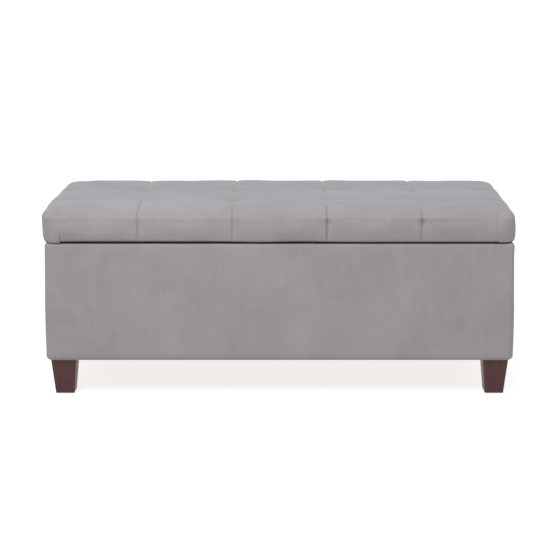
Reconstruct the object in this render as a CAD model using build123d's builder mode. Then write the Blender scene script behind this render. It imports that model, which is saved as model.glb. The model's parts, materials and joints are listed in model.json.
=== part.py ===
from build123d import *
from math import cos, radians, sin
import os

# Upholstered storage bench with a hinged, padded lid.
# Row frame: +Z up, front towards -Y, origin on the floor under the middle of the bench. Millimetres.

os.makedirs("parts", exist_ok=True)

# ---------------------------------------------------------------- driving dimensions
# Overall
bench_width = 1200.0  # over the lid
bench_depth = 450.0  # over the lid
bench_height = 493.0  # floor to the crown of the lid
lid_thickness = 87.0
lid_gap = 6.0  # between the rim of the box and the underside of the lid
lid_overhang = 6.0  # of the lid past the box, on every side
lid_open_angle = 95.0  # degrees

# Upholstery
cover_thickness = 1.5
padding_thickness = 5.0  # foam sheet round the box
liner_thickness = 1.0
box_edge_radius = 4.0  # along the rim
box_turn_under = 20.0  # of the cover under the box
liner_drop = 2.0  # from the rim to the top edge of the lining

# Timber frame and its plywood skin
panel_thickness = 5.0
rail_thickness = 16.0
top_rail_height = 40.0
bottom_rail_height = 30.0
post_width = 45.0
floor_thickness = 6.0
batten_width = 40.0

# Legs and what holds them
leg_height = 93.0
leg_top_size = 65.0
leg_bottom_size = 48.0
leg_edge_radius = 2.0
leg_block_size = 80.0
leg_block_gap = 2.0  # under the floor panel, for the tee nut's flange
bolt_radius = 4.0
bolt_in_leg = 45.0
bolt_clearance = 0.4
nut_barrel_radius = 5.0
nut_barrel_length = 12.0
nut_flange_radius = 9.0
nut_flange_thickness = 1.5
nut_edge_clearance = 1.0  # from the flange to the rails
glide_radius = 11.0
glide_thickness = 3.0
glide_chamfer = 0.75
glide_nail_radius = 1.2
glide_nail_length = 14.0

# Lid
lid_corner_radius = 36.0
lid_edge_radius = 34.0  # round the top, less than the corner radius
lid_hem_radius = 6.0  # round the underside
lid_hem_width = 40.0  # of the cover under the lid
board_thickness = 12.0
lid_side_foam = 8.0  # between the board's edge and the cover
tuft_columns = 4
tuft_rows = 2
tuft_depth = 24.0
tie_radius = 1.5

# Rim bumpers
bumper_radius = 6.0
bumper_spacing_y = 320.0
bumper_clearance = 0.2

# Hinges
hinge_spacing = 760.0
hinge_width = 75.0
hinge_knuckles = 5
leaf_depth = 33.0
leaf_thickness = 1.4
leaf_clearance = 0.3  # round the barrel and between the knuckles
pin_radius = 1.5
pin_clearance = 0.08
hinge_screws_per_leaf = 3
hinge_screw_spacing = 25.0
hinge_screw_length = 12.0

# Wood screws, countersunk
screw_radius = 1.7
screw_head_radius = 3.3
screw_head_height = 1.6

# Lid stays: a slotted arm turns on the lid bracket and slides over a stud on the wall
stay_pivot_angle = 5.0  # of the pivot below the hinge axis, lid closed, degrees
stay_closed_angle = 20.0  # between pivot and stud, seen from the hinge axis, degrees
stay_floor_clearance = 8.0
stay_metal = 2.0
stay_side_clearance = 0.6
arm_width = 16.0
stud_radius = 4.0
stud_head_radius = 7.0
stud_neck_radius = 2.5
slot_clearance = 0.25
rivet_radius = 2.5
rivet_head_radius = 4.5
rivet_head_height = 1.2
rivet_clearance = 0.1
plate_width = 24.0
plate_corner_radius = 4.0
plate_screw_spacing = 14.0
plate_screw_rise = 10.0  # above the lower edge of the top rail
plate_edge = 9.0  # from the screws to the plate's top
plate_screw_length = 14.0
bracket_length = 44.0
bracket_flange = 24.0
bracket_screw_spacing = 28.0
bracket_tab_radius = 9.0
bracket_screw_length = 11.0

# ---------------------------------------------------------------- derived places
box_width = bench_width - 2 * lid_overhang
box_depth = bench_depth - 2 * lid_overhang
box_bottom = glide_thickness + leg_height
lid_bottom = bench_height - lid_thickness
box_top = lid_bottom - lid_gap

# The padding bends round the corners of the plywood, so they set the radius together.
box_corner_radius = 2 * padding_thickness

# Half widths and half depths of the layers of the wall, from the outside in
padding_x = box_width / 2 - cover_thickness
padding_y = box_depth / 2 - cover_thickness
panel_x = padding_x - padding_thickness
panel_y = padding_y - padding_thickness
rail_x = panel_x - panel_thickness
rail_y = panel_y - panel_thickness
liner_x = rail_x - rail_thickness
liner_y = rail_y - rail_thickness
room_x = liner_x - liner_thickness
room_y = liner_y - liner_thickness

frame_bottom = box_bottom + cover_thickness
frame_top = box_top - cover_thickness
floor_bottom = frame_bottom + bottom_rail_height
floor_top = floor_bottom + floor_thickness
room_floor = floor_top + liner_thickness
liner_top = box_top - liner_drop
top_rail_bottom = frame_top - top_rail_height

leg_x = liner_x - nut_flange_radius - nut_edge_clearance
leg_y = liner_y - nut_flange_radius - nut_edge_clearance
block_top = floor_bottom - leg_block_gap

board_bottom = lid_bottom + cover_thickness
board_x = bench_width / 2 - cover_thickness - lid_side_foam
board_y = bench_depth / 2 - cover_thickness - lid_side_foam
board_corner_radius = lid_corner_radius - cover_thickness - lid_side_foam
hem_x = bench_width / 2 - lid_hem_width
hem_y = bench_depth / 2 - lid_hem_width
tuft_pitch_x = bench_width / (tuft_columns + 1)
tuft_pitch_y = bench_depth / (tuft_rows + 1)

# Hinge axis: behind the box, in the middle of the gap
knuckle_radius = lid_gap / 2 - leaf_clearance
hinge_y = box_depth / 2 + lid_gap / 2
hinge_z = box_top + lid_gap / 2
knuckle_pitch = hinge_width / hinge_knuckles
rail_centre_y = rail_y - rail_thickness / 2

# Lid stay: pivot and stud lie on one circle round the hinge axis, so that the arm turns on the
# lid by exactly half the angle that the lid turns. The circle is as large as the box is deep.
stay_tilt = radians(stay_pivot_angle + stay_closed_angle / 2)
half_closed = radians(stay_closed_angle / 2)
half_open = radians((stay_closed_angle + lid_open_angle) / 2)
arm_end = arm_width / 2
stay_reach = hinge_z - room_floor - stay_floor_clearance - arm_end
stay_radius = stay_reach / (sin(radians(stay_pivot_angle)) + 2 * sin(half_open) * cos(stay_tilt))
pivot_y = hinge_y - stay_radius * cos(radians(stay_pivot_angle))
pivot_z = hinge_z - stay_radius * sin(radians(stay_pivot_angle))
stud_y = hinge_y - stay_radius * cos(radians(stay_pivot_angle + stay_closed_angle))
stud_z = hinge_z - stay_radius * sin(radians(stay_pivot_angle + stay_closed_angle))
slot_near = 2 * stay_radius * sin(half_closed)  # from pivot to stud, lid closed
slot_far = 2 * stay_radius * sin(half_open)  # from pivot to stud, lid open

# Stack of the lid stay, from the lining inwards
plate_inner_x = room_x - stay_metal
arm_outer_x = plate_inner_x - stay_side_clearance
arm_inner_x = arm_outer_x - stay_metal
bracket_outer_x = arm_inner_x - stay_side_clearance
bracket_inner_x = bracket_outer_x - stay_metal

SIDES = (("left", -1), ("right", 1))
ENDS = (("front", -1), ("rear", 1))
AT_TOP = (Align.CENTER, Align.CENTER, Align.MAX)
AT_BOTTOM = (Align.CENTER, Align.CENTER, Align.MIN)


# ---------------------------------------------------------------- helpers
def save(piece, name):
    """Labels a finished piece and writes its STEP file."""
    piece.part.label = name
    export_step(piece.part, f"parts/{name}.step")


def board(x_span, y_span, z_span, cutters=()):
    """A rectangular board or sheet between two corners, less whatever passes through it."""
    with BuildPart() as piece:
        with Locations((x_span[0], y_span[0], z_span[0])):
            Box(
                x_span[1] - x_span[0],
                y_span[1] - y_span[0],
                z_span[1] - z_span[0],
                align=(Align.MIN, Align.MIN, Align.MIN),
            )
        for cutter in cutters:
            add(cutter.part, mode=Mode.SUBTRACT)
    return piece


def mirrored_span(side, inner, outer):
    """The span from inner to outer on the side that the sign gives, lowest end first."""
    return tuple(sorted((side * inner, side * outer)))


def wood_screws(places, length):
    """Countersunk screws: each place is the middle of a head's face, with Z pointing out of it."""
    with BuildPart() as screws:
        with Locations(*places):
            Cone(screw_radius, screw_head_radius, screw_head_height, align=AT_TOP)
            Cylinder(screw_radius, length, align=AT_TOP)
    return screws


def box_block(inset):
    """The padded box as a block, inset from the outside of its cover."""
    with BuildPart() as block:
        with BuildSketch(Plane.XY.offset(box_bottom + inset)):
            RectangleRounded(
                box_width - 2 * inset, box_depth - 2 * inset, box_corner_radius - inset
            )
        extrude(amount=box_top - box_bottom - 2 * inset)
        fillet(block.faces().sort_by(Axis.Z)[-1].edges(), box_edge_radius - inset)
    return block


def lid_block(inset):
    """The padded lid as a block, inset from the outside of its cover."""
    with BuildPart() as block:
        with BuildSketch(Plane.XY.offset(lid_bottom + inset)):
            RectangleRounded(
                bench_width - 2 * inset, bench_depth - 2 * inset, lid_corner_radius - inset
            )
        extrude(amount=lid_thickness - 2 * inset)
        fillet(block.faces().sort_by(Axis.Z)[0].edges(), lid_hem_radius - inset)
        fillet(block.faces().sort_by(Axis.Z)[-1].edges(), lid_edge_radius - inset)
    return block


# ---------------------------------------------------------------- screws
# They come first, because the pieces that they pass through are cut with them.
hinge_centres = (-hinge_spacing / 2, hinge_spacing / 2)
screw_offsets = [
    (i - (hinge_screws_per_leaf - 1) / 2) * hinge_screw_spacing for i in range(hinge_screws_per_leaf)
]
hinge_screw_x = [centre + offset for centre in hinge_centres for offset in screw_offsets]

hinge_box_screws = wood_screws(
    [Location((x, rail_centre_y, box_top + leaf_thickness)) for x in hinge_screw_x],
    hinge_screw_length,
)
hinge_lid_screws = wood_screws(
    [Location((x, rail_centre_y, lid_bottom - leaf_thickness), (180, 0, 0)) for x in hinge_screw_x],
    hinge_screw_length,
)
plate_screw_z = top_rail_bottom + plate_screw_rise
stay_plate_screws = wood_screws(
    [
        Location((side * plate_inner_x, stud_y + offset, plate_screw_z), (0, -side * 90, 0))
        for _, side in SIDES
        for offset in (-plate_screw_spacing / 2, plate_screw_spacing / 2)
    ],
    plate_screw_length,
)
bracket_screw_x = bracket_outer_x - bracket_flange / 2
stay_bracket_screws = wood_screws(
    [
        Location((side * bracket_screw_x, pivot_y + offset, lid_bottom - stay_metal), (180, 0, 0))
        for _, side in SIDES
        for offset in (-bracket_screw_spacing / 2, bracket_screw_spacing / 2)
    ],
    bracket_screw_length,
)
save(hinge_box_screws, "hinge_box_screws")
save(hinge_lid_screws, "hinge_lid_screws")
save(stay_plate_screws, "stay_plate_screws")
save(stay_bracket_screws, "stay_bracket_screws")

# ---------------------------------------------------------------- timber frame
frame_span_z = (frame_bottom, frame_top)
for end_name, end in ENDS:
    panel_span_y = mirrored_span(end, rail_y, panel_y)
    save(board((-panel_x, panel_x), panel_span_y, frame_span_z), f"{end_name}_panel")
    rail_span_y = mirrored_span(end, liner_y, rail_y)
    save(
        board((-rail_x, rail_x), rail_span_y, (frame_bottom, floor_bottom)),
        f"{end_name}_bottom_rail",
    )
    save(
        board(
            (-rail_x, rail_x), rail_span_y, (top_rail_bottom, frame_top), cutters=(hinge_box_screws,)
        ),
        f"{end_name}_top_rail",
    )
    for side_name, side in SIDES:
        save(
            board(
                mirrored_span(side, rail_x - post_width, rail_x),
                rail_span_y,
                (floor_bottom, top_rail_bottom),
            ),
            f"{end_name}_{side_name}_post",
        )

for side_name, side in SIDES:
    side_span_y = (-rail_y, rail_y)
    rail_span_x = mirrored_span(side, liner_x, rail_x)
    save(board(mirrored_span(side, rail_x, panel_x), side_span_y, frame_span_z), f"{side_name}_panel")
    save(
        board(rail_span_x, (-liner_y, liner_y), (frame_bottom, floor_bottom)),
        f"{side_name}_bottom_rail",
    )
    save(
        board(
            rail_span_x, (-liner_y, liner_y), (top_rail_bottom, frame_top), cutters=(stay_plate_screws,)
        ),
        f"{side_name}_top_rail",
    )

# Floor of the box, notched round the posts, on a batten across its middle
with BuildPart() as floor_panel:
    with BuildSketch(Plane.XY.offset(floor_bottom)):
        Rectangle(2 * rail_x, 2 * rail_y)
        with GridLocations(2 * rail_x - post_width, 2 * rail_y - rail_thickness, 2, 2):
            Rectangle(post_width, rail_thickness, mode=Mode.SUBTRACT)
    extrude(amount=floor_thickness)
save(floor_panel, "floor_panel")
save(
    board((-batten_width / 2, batten_width / 2), (-liner_y, liner_y), (frame_bottom, floor_bottom)),
    "floor_batten",
)

# ---------------------------------------------------------------- legs
# Each leg screws onto a tee nut in a corner block with a hanger bolt.
leg_grid = (2 * leg_x, 2 * leg_y, 2, 2)

with BuildPart() as leg_bolts:
    with BuildSketch(Plane.XY.offset(box_bottom - bolt_in_leg)):
        with GridLocations(*leg_grid):
            Circle(bolt_radius)
    extrude(amount=bolt_in_leg + block_top - box_bottom)
save(leg_bolts, "leg_bolts")

with BuildPart() as leg_tee_nuts:
    with BuildSketch(Plane.XY.offset(block_top - nut_barrel_length)):
        with GridLocations(*leg_grid):
            Circle(nut_barrel_radius)
    extrude(amount=nut_barrel_length)
    with BuildSketch(Plane.XY.offset(block_top)):
        with GridLocations(*leg_grid):
            Circle(nut_flange_radius)
    extrude(amount=nut_flange_thickness)
    with BuildSketch(Plane.XY.offset(block_top - nut_barrel_length)):
        with GridLocations(*leg_grid):
            Circle(bolt_radius)
    extrude(amount=nut_barrel_length + nut_flange_thickness, mode=Mode.SUBTRACT)
save(leg_tee_nuts, "leg_tee_nuts")

with BuildPart() as leg_glides:
    with BuildSketch():
        with GridLocations(*leg_grid):
            Circle(glide_radius)
    extrude(amount=glide_thickness)
    chamfer(leg_glides.faces().sort_by(Axis.Z)[:4].edges(), glide_chamfer)
    with BuildSketch(Plane.XY.offset(glide_thickness)):
        with GridLocations(*leg_grid):
            Circle(glide_nail_radius)
    extrude(amount=glide_nail_length)
save(leg_glides, "leg_glides")

for end_name, end in ENDS:
    for side_name, side in SIDES:
        with BuildPart() as leg:
            with BuildSketch(Plane((side * leg_x, end * leg_y, glide_thickness))):
                Rectangle(leg_bottom_size, leg_bottom_size)
            with BuildSketch(Plane((side * leg_x, end * leg_y, box_bottom))):
                Rectangle(leg_top_size, leg_top_size)
            loft()
            upright_edges = leg.edges().filter_by(lambda edge: abs(edge.tangent_at(0.5).Z) > 0.5)
            fillet(upright_edges, leg_edge_radius)
            chamfer(leg.faces().sort_by(Axis.Z)[0].edges(), leg_edge_radius / 2)
            with Locations((side * leg_x, end * leg_y, box_bottom)):
                Hole(bolt_radius, bolt_in_leg)
            with Locations((side * leg_x, end * leg_y, glide_thickness + glide_nail_length)):
                Hole(glide_nail_radius, glide_nail_length)
        save(leg, f"{end_name}_{side_name}_leg")

        with BuildPart() as leg_block:
            with BuildSketch(Plane.XY.offset(frame_bottom)):
                with Locations(
                    (side * (liner_x - leg_block_size / 2), end * (liner_y - leg_block_size / 2))
                ):
                    Rectangle(leg_block_size, leg_block_size)
            extrude(amount=block_top - frame_bottom)
            with Locations((side * leg_x, end * leg_y, block_top)):
                CounterBoreHole(bolt_radius + bolt_clearance, nut_barrel_radius, nut_barrel_length)
        save(leg_block, f"{end_name}_{side_name}_leg_block")

# ---------------------------------------------------------------- upholstery of the box
with BuildPart() as box_padding:
    add(box_block(cover_thickness).part)
    with BuildSketch(Plane.XY.offset(frame_bottom)):
        Rectangle(2 * panel_x, 2 * panel_y)
    extrude(amount=frame_top - frame_bottom, mode=Mode.SUBTRACT)
save(box_padding, "box_padding")

# The cover goes over the rim to the lining, and a little way under the box.
with BuildPart() as box_cover:
    add(box_block(0).part)
    add(box_block(cover_thickness).part, mode=Mode.SUBTRACT)
    with BuildSketch(Plane.XY.offset(frame_top)):
        Rectangle(2 * liner_x, 2 * liner_y)
    extrude(amount=cover_thickness, mode=Mode.SUBTRACT)
    with BuildSketch(Plane.XY.offset(box_bottom)):
        Rectangle(box_width - 2 * box_turn_under, box_depth - 2 * box_turn_under)
    extrude(amount=cover_thickness, mode=Mode.SUBTRACT)
    add(hinge_box_screws.part, mode=Mode.SUBTRACT)
save(box_cover, "box_cover")

with BuildPart() as dust_cover:
    with BuildSketch(Plane.XY.offset(box_bottom)):
        Rectangle(box_width - 2 * box_turn_under, box_depth - 2 * box_turn_under)
        with GridLocations(*leg_grid):
            Circle(bolt_radius + bolt_clearance, mode=Mode.SUBTRACT)
    extrude(amount=cover_thickness)
save(dust_cover, "dust_cover")

liner_span_z = (floor_top, liner_top)
for end_name, end in ENDS:
    lining_span_y = mirrored_span(end, room_y, liner_y)
    save(board((-liner_x, liner_x), lining_span_y, liner_span_z), f"{end_name}_lining")
for side_name, side in SIDES:
    save(
        board(
            mirrored_span(side, room_x, liner_x),
            (-room_y, room_y),
            liner_span_z,
            cutters=(stay_plate_screws,),
        ),
        f"{side_name}_lining",
    )
save(board((-room_x, room_x), (-room_y, room_y), (floor_top, room_floor)), "floor_lining")

with BuildPart() as rim_bumpers:
    with BuildSketch(Plane.XY.offset(box_top)):
        with GridLocations(rail_x + liner_x, bumper_spacing_y, 2, 2):
            Circle(bumper_radius)
    extrude(amount=lid_gap - bumper_clearance)
save(rim_bumpers, "rim_bumpers")

# ---------------------------------------------------------------- lid
with BuildPart() as tuft_ties:
    with BuildSketch(Plane.XY.offset(board_bottom)):
        with GridLocations(tuft_pitch_x, tuft_pitch_y, tuft_columns, tuft_rows):
            Circle(tie_radius)
    extrude(amount=lid_thickness - 2 * cover_thickness - tuft_depth)
save(tuft_ties, "tuft_ties")

with BuildPart() as lid_board:
    with BuildSketch(Plane.XY.offset(board_bottom)):
        RectangleRounded(2 * board_x, 2 * board_y, board_corner_radius)
    extrude(amount=board_thickness)
    for cutter in (tuft_ties, hinge_lid_screws, stay_bracket_screws):
        add(cutter.part, mode=Mode.SUBTRACT)
save(lid_board, "lid_board")

with BuildPart() as lid_foam:
    add(lid_block(cover_thickness).part)
    with BuildSketch(Plane.XY.offset(board_bottom)):
        RectangleRounded(2 * board_x, 2 * board_y, board_corner_radius)
    extrude(amount=board_thickness, mode=Mode.SUBTRACT)
    add(tuft_ties.part, mode=Mode.SUBTRACT)
save(lid_foam, "lid_foam")

with BuildPart() as lid_cover:
    add(lid_block(0).part)
    add(lid_block(cover_thickness).part, mode=Mode.SUBTRACT)
    with BuildSketch(Plane.XY.offset(lid_bottom)):
        Rectangle(2 * hem_x, 2 * hem_y)
    extrude(amount=cover_thickness, mode=Mode.SUBTRACT)
    add(hinge_lid_screws.part, mode=Mode.SUBTRACT)
save(lid_cover, "lid_cover")

lid_lining = board(
    (-hem_x, hem_x), (-hem_y, hem_y), (lid_bottom, board_bottom), cutters=(stay_bracket_screws,)
)
save(lid_lining, "lid_lining")


# ---------------------------------------------------------------- hinges
def hinge_leaf(centre_x, leaf_bottom, knuckles, bore_radius, screws):
    """One leaf: a flat plate with its share of the knuckles round the hinge axis."""
    plate_end = hinge_y - knuckle_radius - leaf_clearance
    start_x = centre_x - hinge_width / 2
    with BuildPart() as leaf:
        with BuildSketch(Plane.XY.offset(leaf_bottom)):
            with Locations((centre_x, (hinge_y - leaf_depth + plate_end) / 2)):
                Rectangle(hinge_width, plate_end - (hinge_y - leaf_depth))
        extrude(amount=leaf_thickness)
        for k in knuckles:
            knuckle_start = start_x + k * knuckle_pitch + leaf_clearance / 2
            with BuildSketch(Plane.YZ.offset(knuckle_start)):
                with Locations(((hinge_y + plate_end) / 2, leaf_bottom + leaf_thickness / 2)):
                    Rectangle(hinge_y - plate_end, leaf_thickness)
                with Locations((hinge_y, hinge_z)):
                    Circle(knuckle_radius)
                    Circle(bore_radius, mode=Mode.SUBTRACT)
            extrude(amount=knuckle_pitch - leaf_clearance)
        add(screws.part, mode=Mode.SUBTRACT)
    return leaf


for (side_name, _), centre_x in zip(SIDES, hinge_centres):
    box_leaf = hinge_leaf(
        centre_x, box_top, range(0, hinge_knuckles, 2), pin_radius, hinge_box_screws
    )
    save(box_leaf, f"{side_name}_hinge_box_leaf")
    lid_leaf = hinge_leaf(
        centre_x,
        lid_bottom - leaf_thickness,
        range(1, hinge_knuckles, 2),
        pin_radius + pin_clearance,
        hinge_lid_screws,
    )
    save(lid_leaf, f"{side_name}_hinge_lid_leaf")

with BuildPart() as hinge_pins:
    for centre_x in hinge_centres:
        with BuildSketch(Plane.YZ.offset(centre_x - hinge_width / 2)):
            with Locations((hinge_y, hinge_z)):
                Circle(pin_radius)
        extrude(amount=hinge_width)
save(hinge_pins, "hinge_pins")


# ---------------------------------------------------------------- lid stays
with BuildPart() as stay_studs:
    for _, side in SIDES:
        for radius, outer_x, inner_x in (
            (stud_neck_radius, room_x, plate_inner_x),
            (stud_radius, plate_inner_x, bracket_outer_x),
            (stud_head_radius, bracket_outer_x, bracket_inner_x),
        ):
            low_x, high_x = mirrored_span(side, inner_x, outer_x)
            with BuildSketch(Plane.YZ.offset(low_x)):
                with Locations((stud_y, stud_z)):
                    Circle(radius)
            extrude(amount=high_x - low_x)
save(stay_studs, "stay_studs")

rivet_outer_x = arm_outer_x + rivet_clearance
with BuildPart() as stay_rivets:
    for _, side in SIDES:
        for radius, outer_x, inner_x in (
            (rivet_head_radius, rivet_outer_x + rivet_head_height, rivet_outer_x),
            (rivet_radius, rivet_outer_x, bracket_inner_x),
            (rivet_head_radius, bracket_inner_x, bracket_inner_x - rivet_head_height),
        ):
            low_x, high_x = mirrored_span(side, inner_x, outer_x)
            with BuildSketch(Plane.YZ.offset(low_x)):
                with Locations((pivot_y, pivot_z)):
                    Circle(radius)
            extrude(amount=high_x - low_x)
save(stay_rivets, "stay_rivets")

for side_name, side in SIDES:
    with BuildPart() as stay_plate:
        plate_bottom = stud_z - plate_width / 2
        plate_height = plate_screw_z + plate_edge - plate_bottom
        plate_low_x, _ = mirrored_span(side, plate_inner_x, room_x)
        with BuildSketch(Plane.YZ.offset(plate_low_x)):
            with Locations((stud_y, plate_bottom + plate_height / 2)):
                RectangleRounded(plate_width, plate_height, plate_corner_radius)
            with Locations((stud_y, stud_z)):
                Circle(stud_neck_radius, mode=Mode.SUBTRACT)
        extrude(amount=stay_metal)
        add(stay_plate_screws.part, mode=Mode.SUBTRACT)
    save(stay_plate, f"{side_name}_stay_plate")

    arm_low_x, _ = mirrored_span(side, arm_inner_x, arm_outer_x)
    arm_plane = Plane(
        origin=(arm_low_x, pivot_y, pivot_z),
        x_dir=(0, stud_y - pivot_y, stud_z - pivot_z),
        z_dir=(1, 0, 0),
    )
    with BuildPart() as stay_arm:
        with BuildSketch(arm_plane):
            with Locations((slot_far / 2, 0)):
                SlotCenterToCenter(slot_far, arm_width)
            Circle(rivet_radius + rivet_clearance, mode=Mode.SUBTRACT)
            with Locations(((slot_near + slot_far) / 2, 0)):
                SlotCenterToCenter(
                    slot_far - slot_near, 2 * (stud_radius + slot_clearance), mode=Mode.SUBTRACT
                )
        extrude(amount=stay_metal)
    save(stay_arm, f"{side_name}_stay_arm")

    bracket_low_x, _ = mirrored_span(side, bracket_inner_x, bracket_outer_x)
    with BuildPart() as stay_bracket:
        with BuildSketch(Plane.YZ.offset(bracket_low_x)):
            with Locations((pivot_y, pivot_z)):
                Circle(bracket_tab_radius)
            with Locations((pivot_y, lid_bottom - stay_metal / 2)):
                Rectangle(bracket_length, stay_metal)
            make_hull()
            with Locations((pivot_y, pivot_z)):
                Circle(rivet_radius, mode=Mode.SUBTRACT)
        extrude(amount=stay_metal)
        with BuildSketch(Plane.XY.offset(lid_bottom - stay_metal)):
            with Locations((side * bracket_screw_x, pivot_y)):
                Rectangle(bracket_flange, bracket_length)
        extrude(amount=stay_metal)
        add(stay_bracket_screws.part, mode=Mode.SUBTRACT)
    save(stay_bracket, f"{side_name}_stay_bracket")
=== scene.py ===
# %% [markdown]
# # An upholstered storage bench
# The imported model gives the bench's timber, legs, hinges and stays at their real size. This file gives it
# its looks: a tufted lid and a wrapped box in grey suede cloth, dark stained legs, black lining, and zinc
# plated hardware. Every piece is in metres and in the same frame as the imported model, with +Z up and the
# front of the bench towards -Y.

# %% Load the frame
import json
import math

import bmesh
import bpy
import numpy as np
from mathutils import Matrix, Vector
from mathutils.bvhtree import BVHTree


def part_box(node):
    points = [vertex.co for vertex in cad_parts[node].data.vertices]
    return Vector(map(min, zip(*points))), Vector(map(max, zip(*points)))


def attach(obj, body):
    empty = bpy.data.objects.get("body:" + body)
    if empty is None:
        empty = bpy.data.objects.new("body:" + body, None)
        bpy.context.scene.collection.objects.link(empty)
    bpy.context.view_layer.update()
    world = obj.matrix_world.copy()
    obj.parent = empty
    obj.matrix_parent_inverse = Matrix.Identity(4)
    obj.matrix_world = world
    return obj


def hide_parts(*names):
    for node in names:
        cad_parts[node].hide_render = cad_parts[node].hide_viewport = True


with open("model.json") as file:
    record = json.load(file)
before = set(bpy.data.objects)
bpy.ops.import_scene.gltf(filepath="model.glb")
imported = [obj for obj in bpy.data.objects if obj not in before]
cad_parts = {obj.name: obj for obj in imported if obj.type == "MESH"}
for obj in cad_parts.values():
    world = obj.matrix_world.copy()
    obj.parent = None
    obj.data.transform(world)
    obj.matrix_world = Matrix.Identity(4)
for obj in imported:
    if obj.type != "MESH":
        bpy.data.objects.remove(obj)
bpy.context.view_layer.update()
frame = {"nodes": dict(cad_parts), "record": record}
MM = 0.001

# %% [markdown]
# The places that everything else is worked out from: the boxes of the lid, of the box and of the linings.
# Half sizes are used throughout, because the bench is the same on the left as on the right.

# %% Measure the frame
lid_low, lid_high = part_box("lid_cover")
box_low, box_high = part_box("box_cover")
board_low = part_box("lid_board")[0]
rail_low, rail_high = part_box("front_top_rail")
hem_low, hem_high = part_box("lid_lining")
dust_low, dust_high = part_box("dust_cover")
COVER_CLOTH = 0.6 * (hem_high.z - hem_low.z)
print("lid", [round(v, 3) for v in (*lid_low, *lid_high)])
print("box", [round(v, 3) for v in (*box_low, *box_high)])

# %% [markdown]
# ## Small helpers
# A node tree is easier to read when one call makes a node and fills its inputs, so that is what the first
# helpers do. The others turn arrays into meshes and back.

# %% Helpers for materials


def new_material(name):
    """An empty material with its output and main shader. Returns the material, its tree and the shader."""
    material = bpy.data.materials.new(name)
    material.use_nodes = True
    tree = material.node_tree
    tree.nodes.clear()
    output = tree.nodes.new("ShaderNodeOutputMaterial")
    shader = tree.nodes.new("ShaderNodeBsdfPrincipled")
    tree.links.new(shader.outputs[0], output.inputs["Surface"])
    return material, tree, shader


def feed(tree, node, inputs=None, **more):
    """Fills a node's inputs, each with a link or a constant. In a keyword, _ stands for a space."""
    for name, value in {**(inputs or {}), **more}.items():
        socket = node.inputs[name.replace("_", " ") if isinstance(name, str) else name]
        if isinstance(value, bpy.types.NodeSocket):
            tree.links.new(value, socket)
        elif socket.type == "RGBA":
            socket.default_value = (*value[:3], 1.0)
        else:
            socket.default_value = value


def add_node(tree, kind, settings=None, inputs=None, **more):
    """A node of that kind, with its settings, and with its inputs as feed takes them."""
    made = tree.nodes.new(kind)
    for name, value in (settings or {}).items():
        setattr(made, name, value)
    feed(tree, made, inputs, **more)
    return made


def object_space(tree, scale=(1.0, 1.0, 1.0), rotation=(0.0, 0.0, 0.0)):
    """The piece's own coordinates, in metres, stretched or turned for a pattern."""
    place = add_node(tree, "ShaderNodeTexCoord").outputs["Object"]
    return add_node(tree, "ShaderNodeMapping", Vector=place, Scale=scale, Rotation=rotation).outputs[0]


def noise(tree, where, scale, detail=3.0, roughness=0.5, distortion=0.0):
    """A noise value from 0 to 1 at that place."""
    shape = {"Scale": scale, "Detail": detail, "Roughness": roughness, "Distortion": distortion}
    return add_node(tree, "ShaderNodeTexNoise", None, shape, Vector=where).outputs["Fac"]


def ramp(tree, value, stops):
    """A colour ramp: each stop is (position, colour)."""
    made = add_node(tree, "ShaderNodeValToRGB", Fac=value)
    elements = made.color_ramp.elements
    while len(elements) < len(stops):
        elements.new(0.5)
    for element, (position, colour) in zip(elements, stops):
        element.position = position
        element.color = (*colour, 1.0)
    return made.outputs["Color"]


def remap(tree, value, low, high, to_low=0.0, to_high=1.0):
    """A value stretched from one range to another, and kept inside it."""
    ranges = {"From Min": low, "From Max": high, "To Min": to_low, "To Max": to_high}
    return add_node(tree, "ShaderNodeMapRange", None, ranges, Value=value).outputs[0]


def blend_colours(tree, factor, first, second, kind="MIX"):
    """Two colours mixed by a factor."""
    settings = {"data_type": "RGBA", "blend_type": kind}
    return add_node(tree, "ShaderNodeMix", settings, {0: factor, 6: first, 7: second}).outputs[2]


def bump(tree, height, distance, strength=1.0, **under):
    """A bump of that depth in metres, on top of another one if Normal is given."""
    amounts = {"Distance": distance, "Strength": strength}
    return add_node(tree, "ShaderNodeBump", None, amounts, Height=height, **under).outputs[0]


# %% Helpers for meshes
SCENE = bpy.context.scene.collection


def new_piece(name, points, faces, material, smooth=True):
    """A mesh object at the origin, with its place in its mesh."""
    mesh = bpy.data.meshes.new(name)
    mesh.from_pydata([tuple(p) for p in points], [], [tuple(f) for f in faces])
    mesh.update()
    mesh.polygons.foreach_set("use_smooth", [smooth] * len(mesh.polygons))
    mesh.materials.append(material)
    piece = bpy.data.objects.new(name, mesh)
    SCENE.objects.link(piece)
    return piece


def points_of(piece):
    """The piece's own vertices as an array."""
    place = np.empty(len(piece.data.vertices) * 3)
    piece.data.vertices.foreach_get("co", place)
    return place.reshape(-1, 3)


def set_points(piece, points):
    """Writes vertices back into the piece."""
    piece.data.vertices.foreach_set("co", points.ravel())
    piece.data.update()


def normals_of(piece):
    """Vertex normals as an array."""
    out = np.empty(len(piece.data.vertices) * 3)
    piece.data.vertex_normals.foreach_get("vector", out)
    return out.reshape(-1, 3)


def apply_modifiers(piece):
    """The piece's mesh becomes what its modifiers make of it."""
    graph = bpy.context.evaluated_depsgraph_get()
    finished = bpy.data.meshes.new_from_object(piece.evaluated_get(graph))
    piece.modifiers.clear()
    piece.data = finished
    return piece


def welded(node):
    """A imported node's shape, with its loose triangles joined up."""
    shape = bmesh.new()
    shape.from_mesh(frame["nodes"][node].data)
    bmesh.ops.remove_doubles(shape, verts=shape.verts, dist=1e-6)
    return shape


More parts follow.
